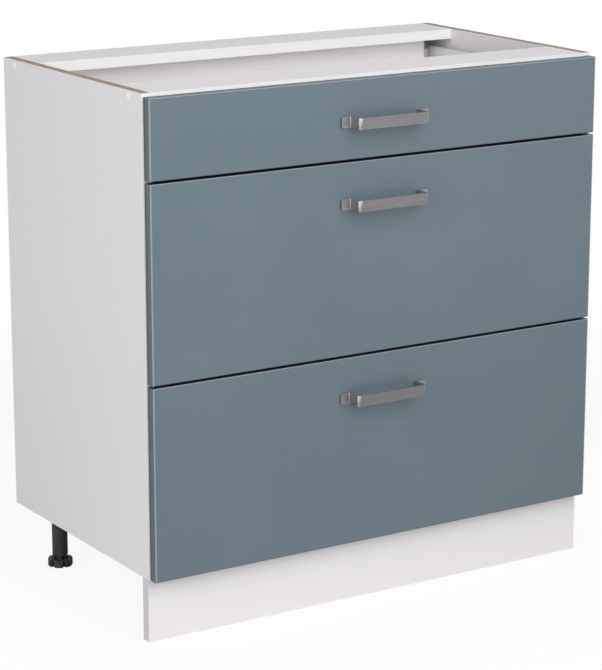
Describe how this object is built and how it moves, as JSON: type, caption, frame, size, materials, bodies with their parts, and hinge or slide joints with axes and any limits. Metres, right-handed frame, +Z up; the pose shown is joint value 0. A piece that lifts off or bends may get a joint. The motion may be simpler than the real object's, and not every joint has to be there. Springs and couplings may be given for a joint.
{
  "type": "kitchen base cabinet with drawers",
  "caption": "Freestanding kitchen base cabinet with a shallow drawer over deep pull-outs on roller runners, open top, adjustable legs and a clipped plinth.",
  "frame": {"origin": "on the floor, under the middle of the whole cabinet, handles included", "axes": "+X to the right as seen from the front, +Y from the fronts to the wall, +Z up"},
  "size_m": [0.8, 0.486, 0.82],
  "materials": {
    "white_board": "white melamine on chipboard, faint pearl grain",
    "back_hardboard": "white-faced hardboard",
    "plinth_board": "white melamine on chipboard",
    "blue_lacquer": "slate-blue satin lacquer on board",
    "brushed_nickel": "dark brushed nickel",
    "zinc_steel": "zinc-plated steel",
    "white_steel": "white powder coat on folded steel",
    "roller_plastic": "off-white nylon",
    "cap_plastic": "white plastic",
    "beech_dowel": "fluted beech",
    "soft_bumper": "clear soft pad",
    "black_plastic": "black moulded plastic"
  },
  "bodies": {
    "carcass": {"side_panel_left": "white_board", "side_panel_right": "white_board", "bottom_panel": "white_board", "back_panel": "back_hardboard", "front_rail": "white_board", "rear_rail": "white_board", "rail_screws": "zinc_steel", "screw_caps": "cap_plastic", "dowels": "beech_dowel", "front_bumpers": "soft_bumper", "leg_plates": "black_plastic", "leg_tubes": "black_plastic", "plinth_board": "plinth_board", "plinth_clips": "black_plastic", "runner_top_left": "white_steel", "runner_top_right": "white_steel", "runner_middle_left": "white_steel", "runner_middle_right": "white_steel", "runner_bottom_left": "white_steel", "runner_bottom_right": "white_steel"},
    "drawer_top": {"drawer_front_top": "blue_lacquer", "handle_top": "brushed_nickel", "handle_screws_top": "zinc_steel", "front_brackets_top": "zinc_steel", "drawer_side_top_left": "white_steel", "drawer_side_top_right": "white_steel", "drawer_bottom_top": "white_board", "drawer_back_top": "white_board"},
    "cabinet_rollers_top": {"cabinet_rollers_top": "roller_plastic"},
    "drawer_rollers_top": {"drawer_rollers_top": "roller_plastic"},
    "drawer_middle": {"drawer_front_middle": "blue_lacquer", "handle_middle": "brushed_nickel", "handle_screws_middle": "zinc_steel", "front_brackets_middle": "zinc_steel", "drawer_side_middle_left": "white_steel", "drawer_side_middle_right": "white_steel", "drawer_bottom_middle": "white_board", "drawer_back_middle": "white_board", "gallery_middle": "white_steel"},
    "cabinet_rollers_middle": {"cabinet_rollers_middle": "roller_plastic"},
    "drawer_rollers_middle": {"drawer_rollers_middle": "roller_plastic"},
    "drawer_bottom": {"drawer_front_bottom": "blue_lacquer", "handle_bottom": "brushed_nickel", "handle_screws_bottom": "zinc_steel", "front_brackets_bottom": "zinc_steel", "drawer_side_bottom_left": "white_steel", "drawer_side_bottom_right": "white_steel", "drawer_bottom_bottom": "white_board", "drawer_back_bottom": "white_board", "gallery_bottom": "white_steel"},
    "cabinet_rollers_bottom": {"cabinet_rollers_bottom": "roller_plastic"},
    "drawer_rollers_bottom": {"drawer_rollers_bottom": "roller_plastic"},
    "foot_front_left": {"foot_front_left": "black_plastic"},
    "foot_front_right": {"foot_front_right": "black_plastic"},
    "foot_rear_left": {"foot_rear_left": "black_plastic"},
    "foot_rear_right": {"foot_rear_right": "black_plastic"}
  },
  "joints": [
    {"name": "drawer_top_slide", "type": "slide", "parent": "carcass", "child": "drawer_top", "axis": [0, -1, 0], "range_m": [0, 0.3]},
    {"name": "cabinet_rollers_top_spin", "type": "hinge", "parent": "carcass", "child": "cabinet_rollers_top", "pos_m": [0, -0.18, 0.712], "axis": [1, 0, 0], "range_deg": [0, 1720]},
    {"name": "drawer_rollers_top_spin", "type": "hinge", "parent": "drawer_top", "child": "drawer_rollers_top", "pos_m": [0, 0.188, 0.7115], "axis": [1, 0, 0], "range_deg": [0, 1720]},
    {"name": "drawer_middle_slide", "type": "slide", "parent": "carcass", "child": "drawer_middle", "axis": [0, -1, 0], "range_m": [0, 0.3]},
    {"name": "cabinet_rollers_middle_spin", "type": "hinge", "parent": "carcass", "child": "cabinet_rollers_middle", "pos_m": [0, -0.18, 0.414], "axis": [1, 0, 0], "range_deg": [0, 1720]},
    {"name": "drawer_rollers_middle_spin", "type": "hinge", "parent": "drawer_middle", "child": "drawer_rollers_middle", "pos_m": [0, 0.188, 0.4135], "axis": [1, 0, 0], "range_deg": [0, 1720]},
    {"name": "drawer_bottom_slide", "type": "slide", "parent": "carcass", "child": "drawer_bottom", "axis": [0, -1, 0], "range_m": [0, 0.3]},
    {"name": "cabinet_rollers_bottom_spin", "type": "hinge", "parent": "carcass", "child": "cabinet_rollers_bottom", "pos_m": [0, -0.18, 0.132], "axis": [1, 0, 0], "range_deg": [0, 1720]},
    {"name": "drawer_rollers_bottom_spin", "type": "hinge", "parent": "drawer_bottom", "child": "drawer_rollers_bottom", "pos_m": [0, 0.188, 0.1315], "axis": [1, 0, 0], "range_deg": [0, 1720]},
    {"name": "foot_front_left_screw_out", "type": "slide", "parent": "carcass", "child": "foot_front_left", "axis": [0, 0, -1], "range_m": [0, 0.02]},
    {"name": "foot_front_right_screw_out", "type": "slide", "parent": "carcass", "child": "foot_front_right", "axis": [0, 0, -1], "range_m": [0, 0.02]},
    {"name": "foot_rear_left_screw_out", "type": "slide", "parent": "carcass", "child": "foot_rear_left", "axis": [0, 0, -1], "range_m": [0, 0.02]},
    {"name": "foot_rear_right_screw_out", "type": "slide", "parent": "carcass", "child": "foot_rear_right", "axis": [0, 0, -1], "range_m": [0, 0.02]}
  ],
  "couplings": [
    {"joint": "cabinet_rollers_top_spin", "follows": "drawer_top_slide", "rad_per_m": 100},
    {"joint": "drawer_rollers_top_spin", "follows": "drawer_top_slide", "rad_per_m": 100},
    {"joint": "cabinet_rollers_middle_spin", "follows": "drawer_middle_slide", "rad_per_m": 100},
    {"joint": "drawer_rollers_middle_spin", "follows": "drawer_middle_slide", "rad_per_m": 100},
    {"joint": "cabinet_rollers_bottom_spin", "follows": "drawer_bottom_slide", "rad_per_m": 100},
    {"joint": "drawer_rollers_bottom_spin", "follows": "drawer_bottom_slide", "rad_per_m": 100}
  ]
}
